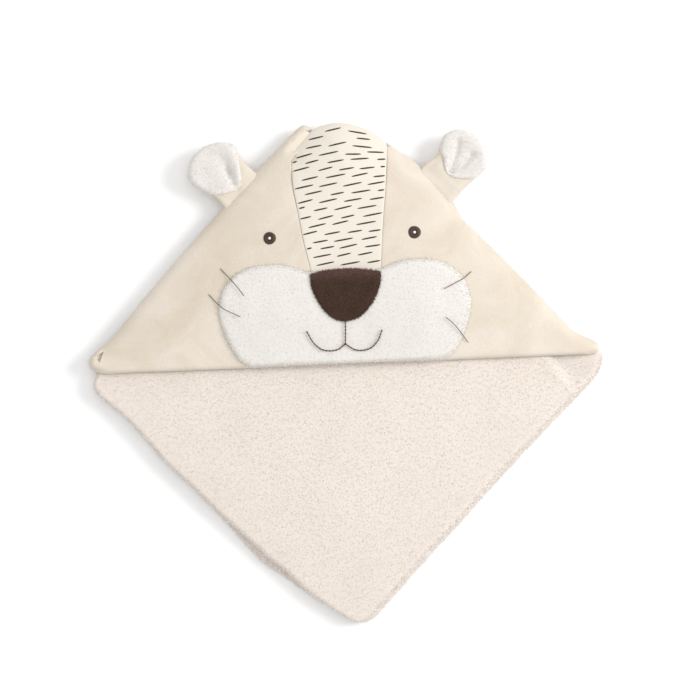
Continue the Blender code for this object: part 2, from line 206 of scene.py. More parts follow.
def towel_point(a, b, across):
    """The place of a point of the flat cloth: a and b from its two creases, across its thickness."""
    lips = 0.0035 * (b < 0) * near(b, -0.125, 0.045)
    in_first, height = bent(a, PAIR, across)
    in_second, level = bent(b, TURN, height)
    over = TERRY / 2 + PAIR
    u, v = in_first, in_second + over
    for radius, far_u, far_v in CORNERS:
        u, v = rounded(SIDE - u if far_u else u, SIDE + over - v if far_v else v, radius)
        u, v = SIDE - u if far_u else u, SIDE + over - v if far_v else v
    lift = level / (STACK / 2)
    edge = 0.0020 * soft_wave(u, v, 0.06, 2 + 3 * (b < 0)) + 0.0009 * soft_wave(u, v, 0.018, 5)
    left = (edge - LEFT_BOW * math.sin(math.pi * min(1, v / SIDE)) - 2 * lips
            + 0.0050 * near(v, 0.315, 0.045) + 0.0065 * near(v, 0.022, 0.028))
    right = edge + RIGHT_BOW * math.sin(math.pi * min(1, u / SIDE))
    under_right = 0.0165 * eased((v - 0.004) / 0.040) * (1 - eased((v - 0.13) / 0.14))
    under_left = (0.0045 + 0.0070 * eased((u - 0.002) / 0.010)) * (1 - eased((u - 0.05) / 0.05))
    u, v = (u + left * math.exp(-u / 0.045) - under_right * math.exp(-(SIDE - u) / 0.06),
            v + right * math.exp(-v / 0.05) - under_left * math.exp(-(SIDE - v) / 0.05))
    place = TOWEL_LOW_CORNER + INWARD[0] * u + INWARD[1] * v
    wave = 0.0014 * soft_wave(place.x, place.y, 0.070, 11) + 0.0006 * soft_wave(place.x, place.y, 0.028, 4)
    return Vector((place.x, place.y, MID + level + max(0.0, lift) ** 2 * (wave - hollow(place))))


def cloth_steps():
    """Distances from a crease: close together where the cloth bends, wide over the flat."""
    tight = [i * 0.00005 for i in range(5)] + [0.0005, 0.001, 0.0018, 0.0028, 0.004, 0.0054, 0.007]
    tight += [0.0088, 0.011, 0.0135]
    count = 74
    rest = [tight[-1] + (SIDE - tight[-1]) * (i + 1) / count for i in range(count)]
    half = tight[1:] + rest
    return [-x for x in reversed(half)] + [0] + half


def new_piece(name, mesh, material, smooth=True):
    made = bpy.data.objects.new(name, mesh)
    bpy.context.scene.collection.objects.link(made)
    mesh.materials.append(material)
    if smooth:
        mesh.shade_smooth()
    return made


def closed_piece(name, points, faces, material, place=None):
    """A closed piece with its faces turned outwards, set in its place."""
    mesh = bpy.data.meshes.new(name)
    mesh.from_pydata(points, [], faces)
    mesh.validate()
    if place is not None:
        mesh.transform(place)
    bm = bmesh.new()
    bm.from_mesh(mesh)
    bmesh.ops.recalc_face_normals(bm, faces=bm.faces)
    bm.to_mesh(mesh)
    bm.free()
    return new_piece(name, mesh, material)


def closed_sheet(name, top_rows, bottom_rows, material):
    """A closed cloth from the rows of its two faces, with a wall round its rim."""
    down, along = len(top_rows), len(top_rows[0])
    half = down * along
    points = [tuple(p) for rows in (top_rows, bottom_rows) for row in rows for p in row]
    faces = []
    for i in range(down - 1):
        for j in range(along - 1):
            k = i * along + j
            quad = (k, k + 1, k + along + 1, k + along)
            faces += [quad, tuple(half + v for v in reversed(quad))]
    rim = ([j for j in range(along)] + [i * along + along - 1 for i in range(1, down)]
           + [half - 1 - j for j in range(1, along)] + [i * along for i in range(down - 2, 0, -1)])
    faces += [(b, a, half + a, half + b) for a, b in zip(rim, rim[1:] + rim[:1])]
    return closed_piece(name, points, faces, material)


def blended(add, share, first, second, **settings):
    """Two colours mixed by a share.  Each is a shade or the output of another node."""
    mix = add("ShaderNodeMix", {"data_type": "RGBA", **settings}, Factor=share)
    for socket, value in zip(mix.inputs[6:8], (first, second)):
        if isinstance(value, bpy.types.NodeSocket):
            mix.id_data.links.new(value, socket)
        else:
            socket.default_value = (*value, 1)
    return mix.outputs[2]


def ranged(add, value, low, high, to_low=0.0, to_high=1.0):
    return add("ShaderNodeMapRange", Value=value, From_Min=low, From_Max=high, To_Min=to_low,
               To_Max=to_high).outputs["Result"]


def dented(add, height, strength, depth):
    return add("ShaderNodeBump", Height=height, Strength=strength, Distance=depth).outputs["Normal"]


def terry_finish():
    """Cream looped cotton: a fine uneven nap, a little lighter and pinker in soft patches."""
    made, add, feed, grain = node_material(
        "terry_cream", Roughness=0.97, Sheen_Weight=0.5, Sheen_Roughness=0.6, Subsurface_Weight=0.35,
        Subsurface_Radius=(1.0, 0.85, 0.7), Subsurface_Scale=0.0020, Specular_IOR_Level=0.15)
    loops = grain(620.0, Detail=2.5, Roughness=0.6)
    patches = blended(add, grain(26.0, Detail=3.0), (0.715, 0.640, 0.573), (0.755, 0.688, 0.630))
    shade = ranged(add, loops, 0.25, 0.62, 0.95, 1.0)
    feed("Base Color", blended(add, 1, patches, shade, blend_type="MULTIPLY"))
    feed("Normal", dented(add, loops, 0.4, 0.0009))
    return made


terry = terry_finish()
steps = cloth_steps()
faces_of_cloth = [[[towel_point(a, b, side * TERRY / 2) for b in steps] for a in steps]
                  for side in (1, -1)]
towel_cloth = closed_sheet("towel_cloth", faces_of_cloth[0], faces_of_cloth[1], terry)
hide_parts("towel_lower_half", "towel_upper_half", "towel_fold_roll")


# The pile stands on every face of the towel that shows: short soft tufts, set close and leaning at
# random, longer along the two folded edges, where the loops open out.
def geometry_tree(name, sizes):
    """An empty tree of geometry nodes with a named input for each size, its adder and its inputs."""
    tree = bpy.data.node_groups.new(name, "GeometryNodeTree")
    sockets = tree.interface
    sockets.new_socket("Geometry", in_out="INPUT", socket_type="NodeSocketGeometry")
    for label, value in sizes.items():
        kind = {float: "Float", int: "Int", tuple: "Vector"}[type(value)]
        sockets.new_socket(label, in_out="INPUT", socket_type=f"NodeSocket{kind}").default_value = value
    sockets.new_socket("Material", in_out="INPUT", socket_type="NodeSocketMaterial")
    sockets.new_socket("Geometry", in_out="OUTPUT", socket_type="NodeSocketGeometry")
    add = adder(tree)
    return tree, add, add("NodeGroupInput").outputs


SHORTEST, LONGEST = 0.6, 1.25
FIBRE_TIP = 0.00004


def fibre_tree():
    """Geometry nodes that stand fine tapered fibres on a surface."""
    tree, add, given = geometry_tree("standing_fibres", {
        "Fibres per square metre": 250000.0, "Length": 0.002, "Thickness": 0.0003, "Lean": 0.6,
        "Seed": 0, "Combed": (0.0, 0.0, 0.0)})
    scatter = add("GeometryNodeDistributePointsOnFaces", Mesh=given["Geometry"],
                  Density=given["Fibres per square metre"], Seed=given["Seed"])
    fibre = add("GeometryNodeMeshCone", Vertices=3, Radius_Top=FIBRE_TIP,
                Radius_Bottom=given["Thickness"], Depth=given["Length"])
    spread = add("ShaderNodeCombineXYZ", X=given["Lean"], Y=given["Lean"], Z=math.pi).outputs[0]
    less = add("ShaderNodeVectorMath", {"operation": "SCALE"}, Vector=spread, Scale=-1).outputs[0]
    turn = add("FunctionNodeRandomValue", {"data_type": "FLOAT_VECTOR"}, Min=less, Max=spread,
               Seed=given["Seed"])
    leaning = add("ShaderNodeVectorMath", {"operation": "ADD"}, Vector=turn.outputs["Value"])
    tree.links.new(given["Combed"], leaning.inputs[1])
    rotate = add("FunctionNodeRotateRotation", {"rotation_space": "LOCAL"},
                 Rotation=scatter.outputs["Rotation"], Rotate_By=leaning.outputs[0])
    size = add("FunctionNodeRandomValue", {"data_type": "FLOAT"}, Seed=given["Seed"])
    size.inputs[2].default_value = SHORTEST
    size.inputs[3].default_value = LONGEST
    place = add("GeometryNodeInstanceOnPoints", Points=scatter.outputs["Points"],
                Instance=fibre.outputs["Mesh"], Rotation=rotate.outputs[0], Scale=size.outputs[1])
    real = add("GeometryNodeRealizeInstances", Geometry=place.outputs[0])
    paint = add("GeometryNodeSetMaterial", Geometry=real.outputs[0], Material=given["Material"])
    add("NodeGroupOutput", Geometry=paint.outputs[0])
    return tree


def worked(name, mesh, tree, values):
    """A piece that a tree of geometry nodes makes from a mesh, kept as a plain mesh."""
    made = bpy.data.objects.new(name, mesh)
    bpy.context.scene.collection.objects.link(made)
    modifier = made.modifiers.new("nodes", "NODES")
    modifier.node_group = tree
    for item in tree.interface.items_tree:
        if item.in_out == "INPUT" and item.name in values:
            modifier[item.identifier] = values[item.name]
    mesh.update()
    evaluated = made.evaluated_get(bpy.context.evaluated_depsgraph_get())
    plain = bpy.data.meshes.new_from_object(evaluated)
    made.modifiers.clear()
    made.data = plain
    bpy.data.meshes.remove(mesh)
    return made


standing_fibres = fibre_tree()
FLOOR_CLEARANCE = 0.0002


def grow(name, ground, material, density, length, thickness, lean, seed, combed=(0, 0, 0)):
    """Grows fibres on the ground mesh, clear of the table, as a piece of their own."""
    made = worked(name, ground, standing_fibres, {
        "Fibres per square metre": density, "Length": length, "Thickness": thickness, "Lean": lean,
        "Seed": seed, "Combed": combed, "Material": material})
    places = np.empty(3 * len(made.data.vertices))
    made.data.vertices.foreach_get("co", places)
    places[2::3] = np.maximum(places[2::3], FLOOR_CLEARANCE)
    made.data.vertices.foreach_set("co", places)
    return made


def faces_where(mesh, wanted):
    """A copy of the faces whose middle and normal pass the test."""
    bm = bmesh.new()
    bm.from_mesh(mesh)
    bm.normal_update()
    drop = [f for f in bm.faces if not wanted(f.calc_center_median(), f.normal)]
    bmesh.ops.delete(bm, geom=drop, context="FACES")
    ground = bpy.data.meshes.new("ground")
    bm.to_mesh(ground)
    bm.free()
    return ground


def from_edges(p):
    """How far in a point of the stack lies from the first fold and from the second."""
    flat = Vector((p.x, p.y)) - TOWEL_LOW_CORNER
    return flat.dot(INWARD[0]), flat.dot(INWARD[1])


def on_open_top(p, n):
    depth = 0.0070 if p.x > 0.190 else 0.0035
    return n.z > 0.5 and p.z > STACK - depth and p.y < 0.030


def on_folds(p, n):
    u, v = from_edges(p)
    return abs(n.z) < 0.93 and (u < 0.006 or v < 0.012) and n.length > 0


def on_raw_edges(p, n):
    u, v = from_edges(p)
    return abs(n.z) < 0.6 and (u > SIDE - 0.030 or v > SIDE - 0.030)


pile_top = grow("terry_pile_top", faces_where(towel_cloth.data, on_open_top), terry,
                230000, 0.0017, 0.00030, 1.3, 3)
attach(pile_top, "upper_half")
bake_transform(towel_cloth)
for half, above in (("lower", False), ("upper", True)):
    for place, test, density, length, thickness, lean, seed in (
        ("folds", on_folds, 560000, 0.0023, 0.00032, 0.95, 4),
        ("rims", on_raw_edges, 450000, 0.0020, 0.00040, 0.80, 5),
    ):
        ground = faces_where(towel_cloth.data, lambda p, n: test(p, n) and (p.z > MID) == above)
        pile = grow(f"terry_pile_{place}_{half}", ground, terry, density, length, thickness, lean, seed)
        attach(pile, f"{half}_half")

# ---------------------------------------------------------------- hood lining
# A soft cotton lining, seen only inside the open front edge and in the small gape at the hood's left
# end.  It is sewn to the towel along both sides and arches over the room for a head.
HOOD_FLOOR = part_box("hood_lining")[0].z
HOOD_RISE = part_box("hood_lining")[1].z - HOOD_FLOOR - 0.0018
POCKET_RISE = 0.080


def smooth_line(points, steps=6):
    """A smooth open line through the points."""
    ends = [Vector(p) for p in points]
    ends = [2 * ends[0] - ends[1], *ends, 2 * ends[-1] - ends[-2]]
    line = []
    for a, b, c, d in zip(ends, ends[1:], ends[2:], ends[3:]):
        for i in range(steps):
            t = i / steps
            line.append((2 * b + (c - a) * t + (2 * a - 5 * b + 4 * c - d) * t * t
                         + (3 * b - a - 3 * c + d) * t ** 3) / 2)
    return line + [ends[-2]]


def from_line(points, lines, closed=False):
    """How far each point lies from a line through the given corners."""
    p = np.array(points, float)[:, None, :2]
    a = np.array([tuple(q)[:2] for q in lines])
    b = np.roll(a, -1, axis=0) if closed else a[1:]
    a = a if closed else a[:-1]
    d = (b - a)[None]
    t = np.clip(((p - a) * d).sum(2) / np.maximum((d * d).sum(2), 1e-12), 0, 1)
    return np.sqrt((((a + t[..., None] * d) - p) ** 2).sum(2)).min(1)


def quarter_round(t):
    """Rises steeply from 0 and levels off at 1, as a round edge does."""
    t = min(1.0, max(0.0, t))
    return math.sqrt(1 - (1 - t) ** 2)


def bowed(start, end, bow, steps=14):
    """A straight run between two corners that swells outwards a little in the middle."""
    start, end = Vector(start), Vector(end)
    outward = math.copysign(1, start.x + end.x)
    out = Vector((abs(end.y - start.y) * outward, abs(end.x - start.x))).normalized()
    return [start.lerp(end, i / steps) + out * bow * 4 * (i / steps) * (1 - i / steps)
            for i in range(1, steps)]


RIGHT_BEND, RIGHT_EAR_FOOT = (0.2245, 0.0245), (0.1190, 0.1405)
TAB, LEFT_BEND = (-0.0410, 0.2350), (-0.2325, 0.0360)
right_tip = smooth_line([(0.2450, -0.0010), (0.2495, 0.0030), (0.2500, 0.0075), (0.2470, 0.0125),
                         (0.2340, 0.0190), RIGHT_BEND], 3)
right_shoulder = smooth_line([RIGHT_EAR_FOOT, (0.1112, 0.1555), (0.0811, 0.1923), (0.0610, 0.2085),
                              (0.0487, 0.2167)], 3)
right_side = right_tip + bowed(RIGHT_BEND, RIGHT_EAR_FOOT, 0.001) + right_shoulder
crown_line = smooth_line([(0.0487, 0.2167), (0.0380, 0.2268), (0.0175, 0.2362), (-0.0030, 0.2396),
                          (-0.0230, 0.2345), (-0.0350, 0.2250), (-0.0455, 0.2150), (-0.0478, 0.2080)], 5)
left_tip = smooth_line([LEFT_BEND, (-0.2500, 0.0220), (-0.2555, 0.0170), (-0.2570, 0.0115),
                        (-0.2550, 0.0060), (-0.2490, 0.0010)], 4)
tab_end = smooth_line([(-0.0215, 0.2295), (-0.0290, 0.2372), (-0.0345, 0.2390), TAB], 4)
left_side = tab_end + bowed(TAB, LEFT_BEND, 0.0035) + left_tip
hood_sides = right_side + crown_line[1:-8] + left_side


def hood_under(x, y):
    """Height of the lining: low along the seams and the slack front edge, raised over the pocket."""
    t = min(1.0, from_line([(x, y)], hood_sides)[0] / POCKET_RISE)
    slack = 0.36 + 0.10 * soft_wave(x, 0, 0.09, 6)
    slack += (1 - slack) * eased((y + 0.004) / 0.075)
    return HOOD_FLOOR + HOOD_RISE * (1 - (1 - t) ** 2) * slack


def evenly(outline, spacing):
    """The closed outline again, with points evenly spaced along it."""
    ring = [Vector(p) for p in outline]
    points = []
    for a, b in zip(ring, ring[1:] + ring[:1]):
        count = max(1, round((b - a).length / spacing))
        points += [a.lerp(b, i / count) for i in range(count)]
    return points


def inside(points, ring):
    """Which points lie within a closed ring."""
    p = np.array(points)
    a = np.array([tuple(q) for q in ring])
    b = np.roll(a, -1, axis=0)
    x, y = p[:, 0][:, None], p[:, 1][:, None]
    crossing = (a[:, 1] > y) != (b[:, 1] > y)
    rise = np.where(np.abs(b[:, 1] - a[:, 1]) < 1e-12, 1e-12, b[:, 1] - a[:, 1])
    at = a[:, 0] + (y - a[:, 1]) / rise * (b[:, 0] - a[:, 0])
    return (crossing & (x < at)).sum(1) % 2 == 1


def pad(name, outline, spacing, rim, top, under, material, place=None, finer=()):
    """A closed pad over an outline.  top and under give its heights from x, y and the distance in from
    the edge, where they meet; rings of points follow the edge so that it can be turned round."""
    ring = evenly(outline, spacing)
    low = np.min([tuple(p) for p in ring], axis=0)
    high = np.max([tuple(p) for p in ring], axis=0)
    inner = []
    for share in (0.05, 0.16, 0.33, 0.58, 1.0):
        for p, before, after in zip(ring, ring[-1:] + ring[:-1], ring[1:] + ring[:1]):
            along = (after - before).normalized()
            for side in (1, -1):
                inner.append((p.x - side * along.y * rim * share, p.y + side * along.x * rim * share,
                              rim * share))
    across = np.arange(low[0], high[0], spacing)
    for j, y in enumerate(np.arange(low[1], high[1], spacing * 0.866)):
        inner += [(x + spacing / 2 * (j % 2), y, rim + spacing * 0.5) for x in across]
    for (x, y), reach, step in finer:
        count = round(reach / step)
        inner += [(x + i * step, y + j * step, rim * 0.5) for i in range(-count, count + 1)
                  for j in range(-count, count + 1) if math.hypot(i, j) <= count]
    flat = np.array(inner)
    reach = from_line(flat, ring, closed=True)
    keep = inside(flat[:, :2], ring) & (reach > flat[:, 2] * 0.93)
    chosen = [Vector((p[0], p[1])) for p in flat[keep]]
    count = len(ring)
    edges = [(i, (i + 1) % count) for i in range(count)]
    found = delaunay_2d_cdt(ring + chosen, edges, [], 1, spacing * 0.02)
    points, faces = found[0], found[2]
    reach = from_line([tuple(p) for p in points], ring, closed=True)
    upper = [(p.x, p.y, top(p.x, p.y, d)) for p, d in zip(points, reach)]
    lower, match = [], []
    for i, (p, d) in enumerate(zip(points, reach)):
        if d < 1e-7:
            match.append(i)
        else:
            match.append(len(upper) + len(lower))
            lower.append((p.x, p.y, min(under(p.x, p.y, d), upper[i][2] - 0.0001)))
    both = [tuple(f) for f in faces] + [tuple(match[v] for v in reversed(f)) for f in faces]
    return closed_piece(name, upper + lower, both, material, place)


def on_upper_half(piece, slot, *nodes):
    """Fixes a piece to the upper half, in the place of the plain nodes that it stands for."""
    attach(piece, "upper_half")
    if nodes:
        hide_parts(*nodes)


LINING_MIDDLE = Vector((0, 0.060))
LINING_SHARE = 0.965
LINING = 0.0015
lining_outline = [LINING_MIDDLE + (p - LINING_MIDDLE) * LINING_SHARE
                  for p in right_side[6:] + crown_line[1:-8] + left_side[:-len(left_tip)]]
lining_cotton, add, feed, grain = node_material("lining_cotton", Base_Color=(0.72, 0.64, 0.54, 1),
                                                Roughness=0.95)
feed("Normal", dented(add, grain(900.0, Detail=2.0), 0.5, 0.0006))
hood_lining = pad("hood_lining_cloth", lining_outline, 0.008, 0.002,
                  lambda x, y, d: hood_under(x, y) + 0.0003 + LINING * quarter_round(d / 0.002),
                  lambda x, y, d: hood_under(x, y) + 0.0003, lining_cotton)
on_upper_half(hood_lining, "jersey_lining", "hood_lining")

# ---------------------------------------------------------------- hood panels
# Two triangles of beige velour, sewn to the forehead stripe and rolled over the towel's edge at the
# sides.  The left one runs on to the corner behind the crown, and its front end is a thick soft roll
# with a small gape in it, where the hem curls up to the side seam.
PANEL_LIFT = 0.0046
SIDE_ROLL = 0.0120
GAPE = [(-0.2408, 0.0228), (-0.2520, 0.0172), (-0.2452, 0.0118)]
GAPE_DEPTH = 0.0054
VELOUR_SPACING = 0.0036
VELOUR_RIM = 0.0040


def swell(x, y, inset):
    """The hood's own softness: broad dents and swells of the cloth."""
    broad = 0.0015 * soft_wave(x, y, 0.075, 21) + 0.0007 * soft_wave(x, y, 0.030, 8)
    return broad * eased(inset / 0.03)


def hood_surface(x, y):
    """The outside of the velour, rolled down at the sides and at the front edge."""
    inset = from_line([(x, y)], hood_sides)[0]
    full = hood_under(x, y) + PANEL_LIFT + swell(x, y, inset)
    front = quarter_round((y + 0.0010) / 0.0055)
    down = hood_under(x, y) - 0.0040
    return down + (full - down) * quarter_round((inset + 0.0004) / SIDE_ROLL) * front


def velour_finish():
    """Short beige pile, brushed into soft lighter and darker patches, with a fine nap."""
    made, add, feed, grain = node_material(
        "velour_beige", Roughness=0.85, Sheen_Weight=0.35, Sheen_Roughness=0.45,
        Sheen_Tint=(1.0, 0.96, 0.91, 1), Specular_IOR_Level=0.2)
    brushed = grain(16.0, Detail=4.0, Roughness=0.6, Distortion=0.8)
    nap = grain(750.0, Detail=2.0)
    tint = blended(add, ranged(add, brushed, 0.34, 0.66), (0.610, 0.530, 0.430), (0.690, 0.620, 0.535))
    shade = ranged(add, nap, 0.3, 0.7, 0.96, 1.02)
    feed("Base Color", blended(add, 1, tint, shade, blend_type="MULTIPLY"))
    heights = add("ShaderNodeMath", {"operation": "MULTIPLY_ADD"}, Value=brushed)
    heights.inputs[1].default_value = 2.0
    heights.id_data.links.new(nap, heights.inputs[2])
    feed("Normal", dented(add, heights.outputs[0], 0.5, 0.0007))
    return made


def seam_x(y, side):
    """Where the forehead stripe is sewn to the panel on that side."""
    if side < 0:
        return -float(np.interp(y, [0, 0.093, 0.124, 0.156, 0.177, 0.211],
                                [0.0275, 0.0318, 0.0385, 0.0430, 0.0466, 0.0474]))
    return float(np.interp(y, [0, 0.090, 0.134, 0.175, 0.221], [0.0310, 0.0366, 0.0403, 0.0452, 0.0490]))


def gape(x, y):
    """The little gape slopes down from its outer corner to a steep wall at its inner side."""
    if not inside([(x, y)], GAPE)[0]:
        return 0.0
    slope = 1 - from_line([(x, y)], [GAPE[0], GAPE[2]])[0] / 0.0095
    return GAPE_DEPTH * slope * eased(from_line([(x, y)], GAPE, closed=True)[0] / 0.0010)


def under_crown(x, y):
    """The end of the left panel dips below the crown."""
    if x > 0:
        return 0.0
    return 0.0045 * eased(1 - from_line([(x, y)], crown_line)[0] / 0.007) * eased((y - 0.206) / 0.012)


def end_roll(x, y):
    """The thick roll of the hem at the hood's left end."""
    path = [(-0.2000, 0.0040), (-0.2400, 0.0048), (-0.2515, 0.0080), (-0.2528, 0.0130), (-0.2470, 0.0225)]
    swollen = 0.0028 * near(from_line([(x, y)], path)[0], 0, 0.0042)
    valley = 0.0012 * near(from_line([(x, y)], [(-0.240, 0.0155), (-0.215, 0.0140)])[0], 0, 0.0060)
    return (swollen - valley) * eased((-x - 0.190) / 0.045)


def velour_top(x, y, d):
    lowered = 0.0010 * (1 - quarter_round(d / 0.0026)) + gape(x, y) + under_crown(x, y)
    return hood_surface(x, y) + end_roll(x, y) - lowered


def velour_under(x, y, d):
    return hood_surface(x, y) - 0.0010 - 0.0018 * quarter_round(d / 0.0040) - gape(x, y) - under_crown(x, y)


velour = velour_finish()
heights_right = [y / 1000 for y in range(1, 217, 12)]
heights_left = [y / 1000 for y in range(1, 206, 12)]
front_right = [Vector((x, 0.0)) for x in (0.060, 0.110, 0.160, 0.200, 0.230)]
right_outline = (front_right + right_side + [Vector((seam_x(y, 1), y)) for y in reversed(heights_right)])
front_left = [Vector((x, y)) for x, y in ((-0.238, 0.0002), (-0.210, 0.0006), (-0.160, 0.0003), (-0.090, 0))]
left_outline = [Vector((seam_x(y, -1), y)) for y in heights_left] + left_side + front_left
panel_right = pad("hood_panel_right_velour", right_outline, VELOUR_SPACING, VELOUR_RIM,
                  velour_top, velour_under, velour)
panel_left = pad("hood_panel_left_velour", left_outline, VELOUR_SPACING, VELOUR_RIM,
                 velour_top, velour_under, velour, finer=[((-0.2458, 0.0172), 0.010, 0.0005)])
for piece, side, pattern in ((panel_left, "left", left_outline), (panel_right, "right", right_outline)):
    on_upper_half(piece, "velour_beige", f"hood_panel_{side}", f"hood_side_seam_{side}")


# ---------------------------------------------------------------- front hem
# The velour is turned under along the open front edge and lies as a soft roll beneath it.
def soft_tube(name, path, radii, material, sides=14, flatten=0.9):
    """A closed tube along a path of points, with its own radius at each point."""
    rows = []
    for i, (p, r) in enumerate(zip(path, radii)):
        ahead = (path[min(i + 1, len(path) - 1)] - path[max(i - 1, 0)]).normalized()
        across = ahead.cross(Vector((0, 0, 1))).normalized()
        up = across.cross(ahead)
        rows.append([p + across * r * math.cos(t) + up * r * flatten * math.sin(t)
                     for t in (2 * math.pi * k / sides for k in range(sides))])
    points = [tuple(v) for row in rows for v in row] + [tuple(path[0]), tuple(path[-1])]
    faces = [(i * sides + k, i * sides + (k + 1) % sides, (i + 1) * sides + (k + 1) % sides,
              (i + 1) * sides + k) for i in range(len(rows) - 1) for k in range(sides)]
    first, last = len(points) - 2, len(points) - 1
    end = (len(rows) - 1) * sides
    faces += [(first, (k + 1) % sides, k) for k in range(sides)]
    faces += [(last, end + k, end + (k + 1) % sides) for k in range(sides)]
    return closed_piece(name, points, faces, material)


hem_route = smooth_line([(0.2440, 0.0050), (0.2000, 0.0036), (0.1000, 0.0034), (0, 0.0034),
                         (-0.1000, 0.0034), (-0.2000, 0.0036), (-0.2440, 0.0050)], 14)
HEM = 0.0024
hem_radii = [HEM] * len(hem_route)
hem_radii[0] = hem_radii[-1] = 0.0004
hem_radii[1] = hem_radii[-2] = 0.0018
hem_path = [Vector((p.x, p.y, hood_under(p.x, p.y) + 0.0006)) for p in hem_route]
hem = soft_tube("hood_front_hem_velour", hem_path, hem_radii, velour)
on_upper_half(hem, "velour_beige", "hood_front_hem")

# ---------------------------------------------------------------- forehead stripe
# A tapering strip of smooth cream cotton, printed with short dark dashes in loose slanting rows and
# sewn between the panels.  At the top it puffs up into a round crown over the towel's corner.
STRIPE_RIM = 0.0024
STRIPE_SINK = 0.0008
COTTON = 0.0011


def stripe_surface(x, y):
    full = hood_under(x, y) + PANEL_LIFT + swell(x, y, 0.05) + 0.0006
    swollen = 0.0040 * eased((y - 0.140) / 0.060) * max(0.0, 1 - (x / 0.056) ** 2)
    edge = from_line([(x, y)], crown_line)[0]
    down = HOOD_FLOOR - 0.0015
    return down + (full + swollen - down) * quarter_round((edge + 0.0008) / 0.026)


def stripe_top(x, y, d):
    return stripe_surface(x, y) - STRIPE_SINK * (1 - quarter_round(d / STRIPE_RIM))


def cotton_finish():
    """Smooth cream jersey: a very fine knit and hardly any shine."""
    made, add, feed, grain = node_material("cotton_cream", Roughness=0.88, Specular_IOR_Level=0.25)
    where = add("ShaderNodeTexCoord").outputs["Object"]
    ribs = add("ShaderNodeTexWave", {"wave_type": "BANDS", "bands_direction": "X"}, Vector=where,
               Scale=420.0, Distortion=1.2, Detail=1.0).outputs["Fac"]
    soft = grain(30.0, Detail=2.0)
    feed("Base Color", blended(add, soft, (0.700, 0.645, 0.560), (0.742, 0.690, 0.605)))
    feed("Normal", dented(add, ribs, 0.35, 0.0003))
    return made


stripe_outline = ([Vector((seam_x(y / 1000, 1), y / 1000)) for y in range(60, 211, 10)] + crown_line
                  + [Vector((seam_x(y / 1000, -1), y / 1000)) for y in range(200, 59, -10)])
cotton = cotton_finish()
stripe = pad("forehead_stripe_cotton", stripe_outline, 0.0032, STRIPE_RIM, stripe_top,
             lambda x, y, d: stripe_surface(x, y) - COTTON - 0.0014 * quarter_round(d / STRIPE_RIM),
             cotton)
on_upper_half(stripe, "cotton_cream", "forehead_stripe")


def on_stripe(p, margin=0.0007):
    return (seam_x(p.y, -1) + margin < p.x < seam_x(p.y, 1) - margin and p.y > 0.0890
            and inside([tuple(p)], stripe_outline)[0]
            and from_line([tuple(p)], crown_line)[0] > 2.5 * margin)


def clipped(p, other):
    """The end of a dash, drawn back along it to where it lies on the stripe."""
    for i in range(21):
        q = p.lerp(other, i / 20)
        if on_stripe(q):
            return q
    return None


def dash(start, end, width=0.00160, height=0.00022):
    """One printed dash: a thin strip with blunt rounded ends that lies on the stripe."""
    steps = 7
    along = (end - start).normalized()
    side = Vector((-along.y, along.x))
    points, faces = [], []
    for i in range(steps + 1):
        t = i / steps
        half = width / 2 * (0.75 + 0.25 * math.sin(math.pi * t)) * (0.5 if i in (0, steps) else 1)
        middle = start.lerp(end, t)
        seam = min(middle.x - seam_x(middle.y, -1), seam_x(middle.y, 1) - middle.x)
        for offset in (-half, 0, half):
            p = middle + side * offset
            rise = height if offset == 0 else height * 0.4
            points.append((p.x, p.y, stripe_top(p.x, p.y, seam) + rise))
    for i in range(steps):
        for k in (0, 1):
            a = 3 * i + k
            faces.append((a, a + 3, a + 4, a + 1))
    return points, faces


def printed_dashes(seed=14):
    """Rows of dashes about 8 mm apart, each row shifted, with a gap here and there."""
    draw = random.Random(seed)
    points, faces = [], []
    y, row = 0.0985, 0
    while y < 0.256:
        x = -0.068 + (0.5 * (row % 2) + draw.uniform(-0.18, 0.18)) * 0.023
        while x < 0.060:
            length = draw.uniform(0.0135, 0.0200)
            slant = math.radians(8.5 - 65 * x + draw.uniform(-2.5, 2.5) - 420 * max(0, y - 0.185) * (x > 0))
            start = Vector((x, y + draw.uniform(-0.0010, 0.0010) + 0.02 * x))
            end = start + Vector((math.cos(slant), math.sin(slant))) * length
            kept = [clipped(start, end), clipped(end, start)]
            if all(kept) and (kept[1] - kept[0]).length > 0.0035 and draw.random() > 0.05:
                made = dash(*kept)
                faces += [tuple(len(points) + v for v in f) for f in made[1]]
                points += made[0]
            x += length + draw.uniform(0.0048, 0.0085)
        y += draw.uniform(0.0070, 0.0084)
        row += 1
    mesh = bpy.data.meshes.new("stripe_dashes")
    mesh.from_pydata(points, [], faces)
    return mesh


ink, add, feed, grain = node_material("dash_print", Roughness=0.9)
feed("Base Color", blended(add, grain(500.0, Detail=2.0), (0.030, 0.020, 0.016), (0.060, 0.044, 0.036)))
dashes = new_piece("forehead_stripe_dashes", printed_dashes(), ink, smooth=False)
dashes.modifiers.new("thickness", "SOLIDIFY").thickness = 0.0002
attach(dashes, "upper_half")

# ---------------------------------------------------------------- muzzle
# One patch of deep white plush sewn on over the panels, from the nose's top corners round both cheeks
# to the front edge.  Its pile stands up all over and breaks the outline into a soft fringe.
muzzle_half = smooth_line([(0.0945, 0.0010), (0.1060, 0.0080), (0.1150, 0.0230), (0.1220, 0.0420),
                           (0.1245, 0.0590), (0.1190, 0.0790), (0.1070, 0.0920), (0.0920, 0.0990),
                           (0.0755, 0.1012), (0.0560, 0.0995), (0.0360, 0.0925)], 5)
MUZZLE_RIM = 0.0060
MUZZLE_LOFT = 0.0030
muzzle_outline = muzzle_half + [Vector((-p.x, p.y)) for p in reversed(muzzle_half)]


def muzzle_puff(x, y):
    lobes = near(abs(x), 0.070, 0.042) * near(y, 0.055, 0.040)
    return 0.0026 * lobes + 0.0006 * soft_wave(x, y, 0.022, 31)


